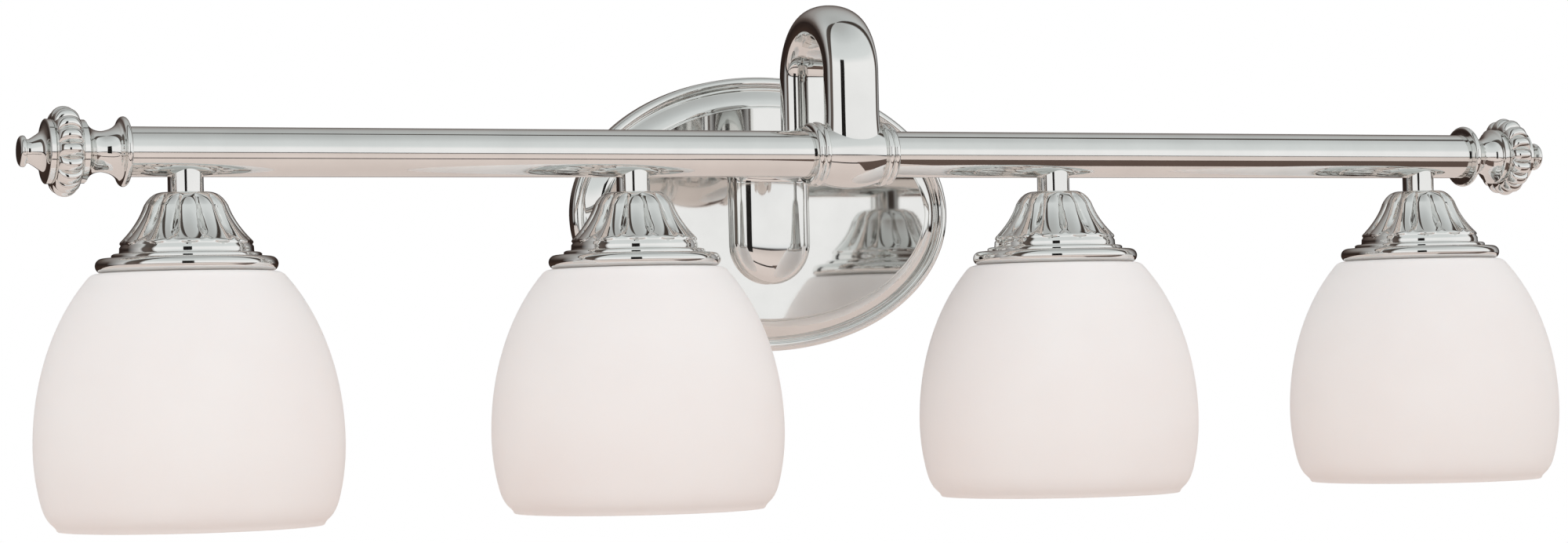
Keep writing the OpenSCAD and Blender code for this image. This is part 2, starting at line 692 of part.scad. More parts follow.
module shade(i) {
    top_a = acos(shade_top_d / 2 / belly_r);
    r2 = belly_r - glass_t;
    inner_a = asin((belly_depth - top_glass) / (upper_h - glass_t / 2));
    outer = concat(
        [[shade_top_d / 2 - 2.2, shade_top]],
        [for (i = [0:15]) let (a = top_a * (1 - i / 15) * 0.985)
            [belly_r * cos(a), belly_z + upper_h * sin(a)]],
        [for (i = [1:5]) let (u = side_h * i / 5)
            [belly_r * sqrt(1 - pow(u / lower_h, 2)), belly_z - u]],
        bend([side_r, belly_z - side_h], [side_r - 1.6, belly_z - tuck * 0.84], turn_end, 4),
        [lip, lip - [glass_t - 0.5, 0]]);
    inner = concat(
        [[turn_end[0] - glass_t - 0.1, turn_end[1]]],
        [for (i = [5:-1:0]) let (u = side_h * i / 5)
            [r2 * sqrt(1 - pow(u / lower_h, 2)), belly_z - u]],
        [for (i = [1:13]) let (a = inner_a * i / 13)
            [r2 * cos(a), belly_z + (upper_h - glass_t / 2) * sin(a)]],
        [[fitter_d / 2, shade_top - top_glass], [fitter_d / 2, shade_top]]);
    color(opal) at_lamp(i) rotate_extrude($fn = 96) polygon(concat(outer, inner));
}
module shade_1() { shade(0); }
module shade_2() { shade(1); }
module shade_3() { shade(2); }
module shade_4() { shade(3); }

// ---- Lamps -----------------------------------------------------------------

contact_z = pocket_z - contact_t - gap;    // top of the lamp's tip
cap_top = contact_z - 3;
cap_bottom = socket_bottom + 2.2;
globe_end = contact_z - lamp_l;
lamp_r = lamp_d / 2;

// Solder tip on its glass insulator, at the top of the lamp
module lamp_tip(i) {
    color(zinc) at_lamp(i) rotate_extrude() polygon([
        [0, contact_z], [2.8, contact_z], [4.4, contact_z - 1], [4.6, contact_z - 1.4],
        [7.4, cap_top], [0, cap_top]]);
}
cap_wall = 0.6;
module lamp_cap(i) {
    color(zinc) at_lamp(i) rotate_extrude() polygon([
        [0, cap_top], [9.6, cap_top], [cap_r - 0.6, cap_top - 2.4], [cap_r, cap_top - 3.2],
        [cap_r, cap_bottom], [cap_r - cap_wall, cap_bottom], [cap_r - cap_wall, cap_top - 4.4],
        [8.8, cap_top - 2], [0, cap_top - 2]]);
}
// Outline of the bulb from its neck, inside the cap, down to its end
bulb_wall = 0.9;
function bulb_line(inset) =
    let (neck = cap_r - cap_wall - 0.1 - inset, wide = lamp_r - inset, round_z = globe_end + lamp_r,
         mid = [neck + 0.45 * (wide - neck), (cap_bottom + round_z) / 2])
    concat(
        [[neck, cap_bottom + 4.8], [neck, cap_bottom]],
        bend([neck, cap_bottom], [neck + 0.6, cap_bottom - 12], mid, 6),
        bend(mid, [wide, round_z + 13], [wide, round_z], 6),
        arc([0, round_z], wide, -8, -90, 11));
module lamp_globe(i) {
    lining = bulb_line(bulb_wall);
    color(frosted) at_lamp(i) rotate_extrude() polygon(concat(bulb_line(0),
        [for (k = [len(lining) - 1:-1:0]) lining[k]]));
}
module lamp_tip_1() { lamp_tip(0); }
module lamp_tip_2() { lamp_tip(1); }
module lamp_tip_3() { lamp_tip(2); }
module lamp_tip_4() { lamp_tip(3); }
module lamp_cap_1() { lamp_cap(0); }
module lamp_cap_2() { lamp_cap(1); }
module lamp_cap_3() { lamp_cap(2); }
module lamp_cap_4() { lamp_cap(3); }
module lamp_globe_1() { lamp_globe(0); }
module lamp_globe_2() { lamp_globe(1); }
module lamp_globe_3() { lamp_globe(2); }
module lamp_globe_4() { lamp_globe(3); }

mounting_bracket();
back_plate();
plate_screws();
ground_screw();
hook_arm();
arm_screws();
arm_wires();
tee_collar();
collar_ring_left();
collar_ring_right();
bar_sleeve();
collar_nipple();
bar_left();
bar_right();
finial_neck_left();
finial_neck_right();
finial_melon_left();
finial_melon_right();
finial_cap_left();
finial_cap_right();
finial_rods();
stem_1();
stem_2();
stem_3();
stem_4();
stem_nipples();
stem_locknuts();
bar_wires();
holder_1();
holder_2();
holder_3();
holder_4();
socket_body_1();
socket_body_2();
socket_body_3();
socket_body_4();
socket_shells();
socket_contacts();
shade_ring_1();
shade_ring_2();
shade_ring_3();
shade_ring_4();
shade_1();
shade_2();
shade_3();
shade_4();
lamp_tip_1();
lamp_tip_2();
lamp_tip_3();
lamp_tip_4();
lamp_cap_1();
lamp_cap_2();
lamp_cap_3();
lamp_cap_4();
lamp_globe_1();
lamp_globe_2();
lamp_globe_3();
lamp_globe_4();
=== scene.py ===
"""Polished-nickel vanity bar with four opal glass shades: the looks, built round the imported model."""

import math

import bmesh
import bpy
from mathutils import Matrix, Quaternion, Vector


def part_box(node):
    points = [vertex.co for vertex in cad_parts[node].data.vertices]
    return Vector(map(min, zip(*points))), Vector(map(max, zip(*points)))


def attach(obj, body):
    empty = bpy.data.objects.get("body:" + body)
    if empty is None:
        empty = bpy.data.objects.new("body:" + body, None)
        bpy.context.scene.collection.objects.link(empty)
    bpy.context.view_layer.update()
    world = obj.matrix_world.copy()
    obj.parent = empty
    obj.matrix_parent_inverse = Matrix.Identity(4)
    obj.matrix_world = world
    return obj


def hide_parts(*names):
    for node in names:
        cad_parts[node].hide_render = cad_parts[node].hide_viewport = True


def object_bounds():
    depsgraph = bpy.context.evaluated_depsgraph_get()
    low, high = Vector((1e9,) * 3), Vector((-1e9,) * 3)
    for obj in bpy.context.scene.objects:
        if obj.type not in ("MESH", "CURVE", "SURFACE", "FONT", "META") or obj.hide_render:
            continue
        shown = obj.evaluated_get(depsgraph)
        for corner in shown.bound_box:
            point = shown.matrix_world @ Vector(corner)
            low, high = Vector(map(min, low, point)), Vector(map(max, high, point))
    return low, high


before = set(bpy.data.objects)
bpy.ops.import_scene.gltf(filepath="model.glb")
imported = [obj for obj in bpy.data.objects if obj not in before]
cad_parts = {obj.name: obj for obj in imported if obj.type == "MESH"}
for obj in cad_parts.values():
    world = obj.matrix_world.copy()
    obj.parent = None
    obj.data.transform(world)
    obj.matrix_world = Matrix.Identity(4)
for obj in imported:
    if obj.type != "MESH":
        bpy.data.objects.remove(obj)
cad_box = [list(corner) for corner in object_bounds()]

# ---- Camera ------------------------------------------------------------------
# A long lens that stands to the left of the fixture, a little below its middle,
# and is tipped very slightly, so that the bar runs almost level through the view.
camera = bpy.data.objects.new("camera", bpy.data.cameras.new("camera"))
bpy.context.collection.objects.link(camera)
bpy.context.scene.camera = camera
camera.data.sensor_width = 36
camera.data.lens = 83.6
camera.data.clip_start = 0.02
camera_turn, camera_rise, camera_roll = (math.radians(a) for a in (-24.17, -1.40, -1.24))
camera_away = 1.789
camera_aim = Vector((-0.0098, -0.0500, -0.0302))
camera_back = Vector((
    math.sin(camera_turn) * math.cos(camera_rise),
    -math.cos(camera_turn) * math.cos(camera_rise),
    math.sin(camera_rise)))
camera.location = camera_aim + camera_back * camera_away
camera.rotation_mode = "QUATERNION"
level = (-camera_back).to_track_quat("-Z", "Y")
camera.rotation_quaternion = level @ Quaternion((0, 0, 1), camera_roll)

# ---- Studio ------------------------------------------------------------------
# A pale floor under the fixture in an evenly white room. Mirrors see the room in
# bands, white at eye height and darker below and behind, as large soft boxes and
# black flags leave it, so that bright metal shows streaks and a dark outline.
bpy.context.scene.view_settings.view_transform = "Standard"
floor_drop = 0.26                               # floor below the fixture's lowest point


def paint(code):
    """Turns an sRGB hex colour into Blender's linear colour."""
    parts = [int(code[i:i + 2], 16) / 255 for i in (1, 3, 5)]
    linear = [c / 12.92 if c <= 0.04045 else ((c + 0.055) / 1.055) ** 2.4 for c in parts]
    return tuple(linear) + (1.0,)


def add(tree, kind, inputs=None, **settings):
    """Adds a node. An input is a value or the output that feeds it, by name or by number."""
    made = tree.nodes.new(kind)
    for key, value in settings.items():
        setattr(made, key, value)
    for key, value in (inputs or {}).items():
        if isinstance(value, bpy.types.NodeSocket):
            tree.links.new(value, made.inputs[key])
        else:
            made.inputs[key].default_value = value
    return made


def ramp(tree, factor, stops):
    """Adds a colour ramp with its stops, each a place and an sRGB hex colour."""
    made = add(tree, "ShaderNodeValToRGB", {"Fac": factor})
    band = made.color_ramp
    while len(band.elements) < len(stops):
        band.elements.new(1.0)
    for element, (place, code) in zip(band.elements, stops):
        element.position = place
        element.color = paint(code)
    return made.outputs["Color"]


room = bpy.data.worlds.new("white_room")
bpy.context.scene.world = room
room.use_nodes = True
tree = room.node_tree
tree.nodes.clear()
place = add(tree, "ShaderNodeTexCoord")
split = add(tree, "ShaderNodeSeparateXYZ", {0: place.outputs["Generated"]})
height = add(tree, "ShaderNodeMapRange", {
    "Value": split.outputs["Z"], "From Min": -1.0, "From Max": 1.0})
# Straight down is 0, eye height 0.5 and straight up 1
front = ramp(tree, height.outputs["Result"], [
    (0.0, "#a8988f"), (0.40, "#a8988f"), (0.43, "#2c2320"), (0.462, "#2c2320"),
    (0.476, "#f4f6f7"), (0.50, "#ffffff"), (0.64, "#ffffff"), (0.72, "#e6eaea"),
    (0.86, "#dfe3e3"), (0.95, "#cacece"), (1.0, "#b9bbba")])
behind = ramp(tree, height.outputs["Result"], [
    (0.0, "#54433a"), (0.46, "#3a2d27"), (0.56, "#2c2320"),
    (0.66, "#5f544f"), (0.80, "#9b9693"), (1.0, "#b9bbba")])
# Two upright flags, by their bearing once round the room
round_room = add(tree, "ShaderNodeMath", {0: split.outputs["X"], 1: split.outputs["Y"]},
                 operation="ARCTAN2")
bearing = add(tree, "ShaderNodeMapRange", {
    "Value": round_room.outputs[0], "From Min": -math.pi, "From Max": math.pi})
flags = ramp(tree, bearing.outputs["Result"], [
    (0.06, "#ffffff"), (0.20, "#ffffff"), (0.215, "#574c46"), (0.27, "#6e6560"), (0.285, "#ffffff"),
    (0.70, "#ffffff"), (0.715, "#574c46"), (0.745, "#574c46"), (0.76, "#ffffff"), (0.94, "#ffffff")])
depth = add(tree, "ShaderNodeMapRange", {
    "Value": split.outputs["Y"], "From Min": -0.05, "From Max": 0.7})
walls = add(tree, "ShaderNodeMix", {0: depth.outputs["Result"], 6: front, 7: behind},
            data_type="RGBA")
flagged = add(tree, "ShaderNodeMix", {0: 1.0, 6: walls.outputs[2], 7: flags},
              data_type="RGBA", blend_type="MULTIPLY")
# Only mirrors see the bands. All else is lit by the even white of the room
sight = add(tree, "ShaderNodeLightPath")
seen = add(tree, "ShaderNodeMix", {
    0: sight.outputs["Is Glossy Ray"], 6: paint("#ffffff"), 7: flagged.outputs[2]}, data_type="RGBA")
mirror = add(tree, "ShaderNodeMath", {
    0: sight.outputs["Is Glossy Ray"], 1: sight.outputs["Is Camera Ray"]}, operation="ADD")
power = add(tree, "ShaderNodeMapRange", {"Value": mirror.outputs[0], "To Min": 0.93, "To Max": 1.0})
glow = add(tree, "ShaderNodeBackground", {
    "Color": seen.outputs[2], "Strength": power.outputs["Result"]})
add(tree, "ShaderNodeOutputWorld", {"Surface": glow.outputs["Background"]})


def stage_sheet(name, size, place, turn, code, roughness):
    """Adds a flat sheet that belongs to the studio."""
    bpy.ops.mesh.primitive_plane_add(size=1, location=place, rotation=turn)
    sheet = bpy.context.object
    sheet.name = name
    sheet.scale = (size[0], size[1], 1)
    bpy.ops.object.transform_apply(location=True, rotation=True, scale=True)
    finish = bpy.data.materials.new(name)
    finish.use_nodes = True
    shader = finish.node_tree.nodes["Principled BSDF"]
    shader.inputs["Base Color"].default_value = paint(code)
    shader.inputs["Roughness"].default_value = roughness
    sheet.data.materials.append(finish)
    return sheet


floor_z = cad_box[0][2] - floor_drop
stage_sheet("floor", (7, 5), (0, -1.4, floor_z), (0, 0, 0), "#e6d8d1", 0.8)
# Dark cards that only reflections see: one behind the camera, two along the floor
stand_at = camera.location + camera_back * 0.25 + Vector((0.10, 0, 0.15))
stand = stage_sheet("card_at_camera", (0.50, 1.6), stand_at,
                    (math.pi / 2, 0, camera_turn), "#141211", 0.9)
strip = stage_sheet("card_on_floor", (4.5, 0.10), (0.4, -0.80, floor_z + 0.004),
                    (0, 0, 0), "#241a15", 0.9)
table = stage_sheet("dark_card_right", (2.2, 0.55), (1.38, -0.62, floor_z + 0.008),
                    (0, 0, 0), "#5f4c43", 0.9)
for card in (stand, strip, table):
    card.visible_camera = False
    card.visible_shadow = False
    card.visible_diffuse = False

key = bpy.data.objects.new("soft_box", bpy.data.lights.new("soft_box", "AREA"))
bpy.context.collection.objects.link(key)
key.data.shape = "RECTANGLE"
key.data.size = 2.2
key.data.size_y = 0.7
key.data.energy = 8
key.data.color = paint("#fbfdff")[:3]
key.location = (-0.5, -1.7, 1.1)
key.visible_glossy = False
key.rotation_euler = (Vector((0, -0.1, 0)) - key.location).to_track_quat("-Z", "Y").to_euler()

# ---- Bracket, screws and tubes -------------------------------------------------
# The strap, locknuts, nipples, rods and sleeve are mild steel, stamped or turned
# and then zinc plated and passivated. The plate, arm and tubes hide all of them
# from the room, and only the strap shows, from behind.
def clear():
    """Leaves edit mode with nothing selected."""
    if bpy.context.object and bpy.context.object.mode != "OBJECT":
        bpy.ops.object.mode_set(mode="OBJECT")
    bpy.ops.object.select_all(action="DESELECT")


def new_finish(name):
    """Starts a finish, and returns it with its tree, its shader and its place."""
    made = bpy.data.materials.new(name)
    made.use_nodes = True
    tree = made.node_tree
    where = add(tree, "ShaderNodeTexCoord").outputs["Object"]
    return made, tree, tree.nodes["Principled BSDF"], where


def coat(piece, finish):
    """Gives a piece one finish all over."""
    if not piece.material_slots:
        piece.data.materials.append(finish)
    for slot in piece.material_slots:
        slot.material = finish


# Zinc plate: a grey metal with a faint blue cast, dull from its crystals
zinc, tree, shader, where = new_finish("passivated_zinc_plate")
spangle = add(tree, "ShaderNodeTexNoise", {"Vector": where, "Scale": 900.0, "Detail": 3.0})
cloud = add(tree, "ShaderNodeTexNoise", {"Vector": where, "Scale": 60.0, "Detail": 2.0})
tint = ramp(tree, cloud.outputs["Fac"], [(0.35, "#a9afb3"), (0.65, "#bfc3bd")])
dull = add(tree, "ShaderNodeMapRange", {"Value": spangle.outputs["Fac"], "To Min": 0.26, "To Max": 0.42})
grain = add(tree, "ShaderNodeBump", {"Height": spangle.outputs["Fac"], "Strength": 0.25, "Distance": 0.0001})
shader.inputs["Metallic"].default_value = 1.0
tree.links.new(tint, shader.inputs["Base Color"])
tree.links.new(dull.outputs["Result"], shader.inputs["Roughness"])
tree.links.new(grain.outputs["Normal"], shader.inputs["Normal"])
for name in ("mounting_bracket", "arm_screws", "bar_sleeve", "collar_nipple", "finial_rods",
             "stem_nipples", "stem_locknuts"):
    coat(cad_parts[name], zinc)

# Ground screw: steel under green lacquer, glossy and a little uneven
lacquer, tree, shader, where = new_finish("green_ground_lacquer")
flow = add(tree, "ShaderNodeTexNoise", {"Vector": where, "Scale": 500.0})
green = ramp(tree, flow.outputs["Fac"], [(0.3, "#1f7a3a"), (0.7, "#2f9a4c")])
tree.links.new(green, shader.inputs["Base Color"])
shader.inputs["Roughness"].default_value = 0.25
coat(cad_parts["ground_screw"], lacquer)

# Wires: stranded copper in a black woven sleeve, laid inside the arm and the bar
sleeve, tree, shader, where = new_finish("woven_wire_sleeve")
weave = add(tree, "ShaderNodeTexWave", {"Vector": where, "Scale": 320.0, "Distortion": 1.5},
            bands_direction="DIAGONAL")
braid = ramp(tree, weave.outputs["Fac"], [(0.2, "#151515"), (0.8, "#2c2b2a")])
tree.links.new(braid, shader.inputs["Base Color"])
shader.inputs["Roughness"].default_value = 0.7
for name in ("arm_wires", "bar_wires"):
    coat(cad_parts[name], sleeve)

# ---- Back plate ----------------------------------------------------------------
# One oval pressing in thin sheet brass: a rolled bead round its edge, a dark
# groove, a raised round band and a flat face. It is polished by wheel before it
# is nickel plated, so its face is a mirror.

# Polished nickel: a warm white mirror. The buffing wheel leaves the faintest
# haze and ripple, which the long reflections of the tube and the plate show.
nickel, tree, shader, where = new_finish("polished_nickel_plate")
haze = add(tree, "ShaderNodeTexNoise", {"Vector": where, "Scale": 45.0, "Detail": 4.0})
ripple = add(tree, "ShaderNodeTexNoise", {"Vector": where, "Scale": 28.0, "Detail": 1.0})
tone = ramp(tree, haze.outputs["Fac"], [(0.3, "#e3e3e1"), (0.7, "#eaeae8")])
polish = add(tree, "ShaderNodeMapRange", {"Value": haze.outputs["Fac"], "To Min": 0.025, "To Max": 0.07})
wheel = add(tree, "ShaderNodeBump", {"Height": ripple.outputs["Fac"], "Strength": 0.10, "Distance": 0.0004})
shader.inputs["Metallic"].default_value = 1.0
tree.links.new(tone, shader.inputs["Base Color"])
tree.links.new(polish.outputs["Result"], shader.inputs["Roughness"])
tree.links.new(wheel.outputs["Normal"], shader.inputs["Normal"])

MM = 0.001


def arc(middle, radius, start, end, steps):
    """Points of a round about middle, from one angle to the other, in degrees."""
    angles = [math.radians(start + (end - start) * i / steps) for i in range(steps + 1)]
    return [(middle[0] + radius * math.cos(a), middle[1] + radius * math.sin(a)) for a in angles]


def shade_smooth(piece, degrees=32):
    """Smooths a piece but for its sharp edges."""
    clear()
    piece.select_set(True)
    bpy.context.view_layer.objects.active = piece
    bpy.ops.object.shade_smooth_by_angle(angle=math.radians(degrees))


def settle(piece, name, finish, slot, body, *nodes):
    """Names a finished piece, coats it and puts it on its body in place of its CAD nodes."""
    piece.name = name
    piece.data.name = name
    coat(piece, finish)
    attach(piece, body)
    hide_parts(*nodes)
    return piece


plate_low, plate_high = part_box("back_plate")
plate_deep = (plate_high.y - plate_low.y) / MM
plate_bead = 2.75
plate_skirt = 4.0
band_start, band_width = 6.0, 8.8
face_step = 0.6
band_top = plate_deep - face_step
skirt_top = plate_skirt + 1.0                   # the band springs from here
band_sweep = 84                                 # degrees of a sine that round the band
sheet_thick = 1.0
# Each step is how far in from the edge, and how far out from the wall
plate_steps = arc((plate_bead, plate_skirt), plate_bead, 180, 24, 12)
plate_steps += [(band_start - 0.5, plate_skirt + 0.9), (band_start, plate_skirt + 1.0)]
for i in range(1, 15):
    t = i / 14
    plate_steps.append((band_start + band_width * t,
                        skirt_top + (band_top - skirt_top) * math.sin(math.radians(band_sweep * t))))
band_end = band_start + band_width
plate_steps += [(band_end + 0.35, band_top - 0.45), (band_end + 0.6, band_top - 0.4),
                (band_end + 0.85, plate_deep - 0.08), (band_end + 1.0, plate_deep),
                (band_end + 1.4, plate_deep)]
clear()
bpy.ops.mesh.primitive_circle_add(vertices=192, radius=1, fill_type="NGON",
                                  rotation=(math.pi / 2, 0, 0))
plate = bpy.context.object
bpy.ops.object.transform_apply(location=True, rotation=True, scale=True)
bpy.ops.object.mode_set(mode="EDIT")
bpy.ops.mesh.select_all(action="SELECT")
bpy.ops.transform.resize(value=(plate_high.x, 1, plate_high.z))
bpy.ops.mesh.extrude_region_move(TRANSFORM_OT_translate={"value": (0, -plate_skirt * MM, 0)})
for before, after in zip(plate_steps, plate_steps[1:]):
    bpy.ops.mesh.inset(thickness=(after[0] - before[0]) * MM, depth=(after[1] - before[1]) * MM)
# The pressing is open towards the wall
work = bmesh.from_edit_mesh(plate.data)
for face in work.faces:
    face.select_set(all(abs(v.co.y) < 1e-6 for v in face.verts))
bmesh.update_edit_mesh(plate.data)
bpy.ops.mesh.delete(type="FACE")
bpy.ops.mesh.select_all(action="SELECT")
bpy.ops.mesh.normals_make_consistent(inside=False)
bpy.ops.object.mode_set(mode="OBJECT")
wall = plate.modifiers.new("sheet", "SOLIDIFY")
wall.thickness = sheet_thick * MM
wall.offset = -1
bpy.ops.object.modifier_apply(modifier="sheet")
shade_smooth(plate)
settle(plate, "back_plate_pressing", nickel, "polished_nickel", "fixture", "back_plate")
coat(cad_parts["plate_screws"], nickel)

# ---- Hooked arm ----------------------------------------------------------------
# A hollow brass casting, filed and polished before plating. Its tongue lies flat
# on the plate, then it turns out behind the bar, climbs, and bows forward over
# the bar like a shepherd's crook, down into the collar.
def between(a, b, t):
    """Goes smoothly from a to b as t goes from 0 to 1."""
    t = max(0.0, min(1.0, t))
    return a + (b - a) * t * t * (3 - 2 * t)


def soft_ring(half_width, half_thick, square_inside, square_outside, lean, count):
    """Outline of a rounded bar. Its two faces may be more or less square.

    The lean moves its widest line back, towards the wall.
    """
    points = []
    for k in range(count):
        a = math.tau * k / count
        power = 2 / (square_inside if math.sin(a) >= 0 else square_outside)
        thick = half_thick + math.copysign(lean, math.sin(a))
        points.append((
            math.copysign(abs(math.cos(a)) ** power * half_width, math.cos(a)),
            math.copysign(abs(math.sin(a)) ** power * thick, math.sin(a)) - lean))
    return points


def swept(rings):
    """Extrudes a disc of metal from ring to ring, and returns the closed piece."""
    clear()
    bpy.ops.mesh.primitive_circle_add(vertices=len(rings[0]), radius=1, fill_type="NGON",
                                      enter_editmode=True)
    piece = bpy.context.object
    work = bmesh.from_edit_mesh(piece.data)
    work.verts.ensure_lookup_table()
    # Remember each corner's number by the place where it was last put
    for vert, point in zip(list(work.verts), rings[0]):
        vert.co = point
    for before, after in zip(rings, rings[1:]):
        bmesh.update_edit_mesh(piece.data)
        bpy.ops.mesh.extrude_region_move()
        work = bmesh.from_edit_mesh(piece.data)
        number = {tuple(round(c, 7) for c in Vector(point)): k for k, point in enumerate(before)}
        for vert in [v for v in work.verts if v.select]:
            vert.co = after[number[tuple(round(c, 7) for c in vert.co)]]
    bmesh.update_edit_mesh(piece.data)
    bpy.ops.mesh.select_all(action="SELECT")
    bpy.ops.mesh.normals_make_consistent(inside=False)
    bpy.ops.object.mode_set(mode="OBJECT")
    return piece


bar_low, bar_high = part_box("bar_right")
bar_y, bar_z = (bar_low.y + bar_high.y) / 2 / MM, (bar_low.z + bar_high.z) / 2 / MM
bar_radius = (bar_high.z - bar_low.z) / 2 / MM
arm_low, arm_high = (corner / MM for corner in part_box("hook_arm"))
tongue_wide, tongue_thick = arm_high.x - arm_low.x, 11.0
hook_wide, hook_thick = 27.0, 17.0
crook = 26.15                                   # radius of the bow, to the middle of the metal
turn = 12.0                                     # radius of the two bends behind the bar
front_leg = arm_low.y + hook_thick / 2
rear_leg = front_leg + 2 * crook
run_height = bar_z + 3
bow_height = arm_high.z - hook_thick / 2 - crook
tongue_y = arm_high.y - tongue_thick / 2
nose = tongue_wide / 2
ring_count = 64

# The two faces' squareness: 2 is an ellipse, and a higher number is squarer
round_face, hook_face, flat_back = 2.1, 3.0, 9
edge_thick = 2.0                                # metal at the very tip of the tongue
tongue_lean = tongue_thick / 2 - edge_thick


def arm_section(t):
    """Half width, half thickness, squareness inside and outside, and lean, from tongue (0) to hook (1)."""
    return (between(tongue_wide, hook_wide, t) / 2, between(tongue_thick, hook_thick, t) / 2,
            between(round_face, hook_face, t), between(flat_back, round_face, t),
            between(tongue_lean, 0, t))


# Stations along the arm: place, heading and section. First the tongue's round nose
stations = []
tip = math.acos(1 - 0.03 / nose)
for i in range(19):
    a = tip + (math.pi / 2 - tip) * (i / 18) ** 1.25
    thick = edge_thick + (tongue_thick - edge_thick) * math.sin(a) ** 0.7
    stations.append((arm_high.y - thick / 2, arm_low.z + nose * (1 - math.cos(a)), 0, nose * math.sin(a),
                     thick / 2, round_face, flat_back, max(0.0, thick / 2 - edge_thick)))
# Out from the plate, along behind the bar, and up: the section changes over 34 steps
bend_steps, run_steps, all_steps = 12, 5, 34
for i in range(bend_steps + 1):
    a = 90 * i / bend_steps
    r = math.radians(a)
    stations.append((tongue_y - turn * (1 - math.cos(r)), run_height - turn + turn * math.sin(r), a,
                     *arm_section(i / all_steps)))
run = tongue_y - rear_leg - 2 * turn
for i in range(1, run_steps + 1):
    stations.append((tongue_y - turn - run * i / (run_steps + 1), run_height, 90,
                     *arm_section((bend_steps + 2 * i) / all_steps)))
for i in range(bend_steps + 1):
    a = 90 * i / bend_steps
    r = math.radians(a)
    stations.append((rear_leg + turn - turn * math.sin(r), run_height + turn * (1 - math.cos(r)), 90 - a,
                     *arm_section((all_steps - bend_steps + i) / all_steps)))
# The bow over the bar
for i in range(49):
    a = 180 * i / 48
    r = math.radians(a)
    stations.append((rear_leg - crook * (1 - math.cos(r)), bow_height + crook * math.sin(r), a,
                     *arm_section(1)))
# The foot flares a little where it runs into the collar
foot_top, foot_flare = 22, 2.2
for i in range(9):
    flare = foot_flare * (i / 8) ** 2
    stations.append((front_leg, bar_z + foot_top - 2 * i, 180,
                     hook_wide / 2 + flare / 2, hook_thick / 2 + flare / 2, hook_face, round_face, 0))
arm_rings = []
for y, z, heading, half_width, half_thick, inside, outside, lean in stations:
    r = math.radians(heading)
    arm_rings.append([
        (across * MM, (y - out * math.cos(r)) * MM, (z - out * math.sin(r)) * MM)
        for across, out in soft_ring(half_width, half_thick, inside, outside, lean, ring_count)])
arm = swept(arm_rings)
shade_smooth(arm, 40)
settle(arm, "hook_arm_casting", nickel, "polished_nickel", "fixture", "hook_arm")

# ---- Collar --------------------------------------------------------------------
# A cast barrel that the arm's front leg runs down into. It swells in its middle,
# and a turned ring with two ridges closes it at each end, round the tube.
AXES = {"X": Vector((1, 0, 0)), "Z": Vector((0, 0, 1))}


def turned(outline, centre, axis, steps=96):
    """Turns an outline round an axis. Its points are (along the axis, radius), in millimetres."""
    along = AXES[axis]
    outward = AXES["Z"] if axis == "X" else AXES["X"]
    points = [centre + (along * a + outward * r) * MM for a, r in outline]
    clear()
    bpy.ops.mesh.primitive_plane_add(size=MM, enter_editmode=True)
    piece = bpy.context.object
    bpy.ops.mesh.merge(type="CENTER")
    bpy.ops.transform.translate(value=points[0])
    for before, after in zip(points, points[1:]):
        bpy.ops.mesh.extrude_region_move(TRANSFORM_OT_translate={"value": after - before})
    bpy.ops.mesh.select_all(action="SELECT")
    bpy.ops.mesh.spin(steps=steps, angle=math.tau, center=centre, axis=along)
    bpy.ops.mesh.select_all(action="SELECT")
    bpy.ops.mesh.remove_doubles(threshold=2e-6)
    bpy.ops.mesh.normals_make_consistent(inside=False)
    bpy.ops.object.mode_set(mode="OBJECT")
    return piece


def copied(piece, shift, mirrored=False):
    """Copies a piece with its own mesh, moved, or mirrored across the middle of the bar."""
    clear()
    piece.select_set(True)
    bpy.context.view_layer.objects.active = piece
    bpy.ops.object.duplicate(linked=False)
    twin = bpy.context.object
    bpy.ops.object.mode_set(mode="EDIT")
    bpy.ops.mesh.select_all(action="SELECT")
    if mirrored:
        bpy.ops.transform.resize(value=(-1, 1, 1), center_override=(0, 0, 0))
        bpy.ops.mesh.flip_normals()
    bpy.ops.transform.translate(value=shift)
    bpy.ops.object.mode_set(mode="OBJECT")
    return twin


bar_axis = Vector((0, bar_y, bar_z)) * MM
collar_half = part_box("tee_collar")[1].x / MM
collar_middle, collar_end = bar_radius + 5.5, bar_radius + 2.7
collar_bore = bar_radius + 0.1
barrel_outline = [(-collar_half + 2 * collar_half * i / 28,
                   collar_middle - (collar_middle - collar_end) * (2 * i / 28 - 1) ** 2) for i in range(29)]
barrel_outline += [(collar_half, collar_bore), (-collar_half, collar_bore), barrel_outline[0]]
barrel = turned(barrel_outline, bar_axis, "X")
shade_smooth(barrel)
settle(barrel, "tee_collar_barrel", nickel, "polished_nickel", "fixture", "tee_collar")

ring_low, ring_high = (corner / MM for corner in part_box("collar_ring_right"))
ridge = (ring_high.x - ring_low.x) / 4
ridge_top = ring_high.z - bar_z
ring_outline = [(ring_low.x, collar_bore)]
ring_outline += [(ring_low.x + ridge + a, r) for a, r in [
    (-math.cos(math.radians(b)) * ridge, ridge_top - ridge + math.sin(math.radians(b)) * ridge)
    for b in range(0, 160, 12)]]
ring_outline += [(ring_low.x + 3 * ridge + a, r) for a, r in [
    (-math.cos(math.radians(b)) * ridge, ridge_top - ridge - 0.5 + math.sin(math.radians(b)) * ridge)
    for b in range(32, 181, 12)]]
ring_outline += [(ring_high.x, collar_bore), ring_outline[0]]
ring = turned(ring_outline, bar_axis, "X")
shade_smooth(ring)
ring_left = copied(ring, (0, 0, 0), mirrored=True)
settle(ring, "collar_ring_right_turned", nickel, "polished_nickel", "fixture", "collar_ring_right")
settle(ring_left, "collar_ring_left_turned", nickel, "polished_nickel", "fixture", "collar_ring_left")

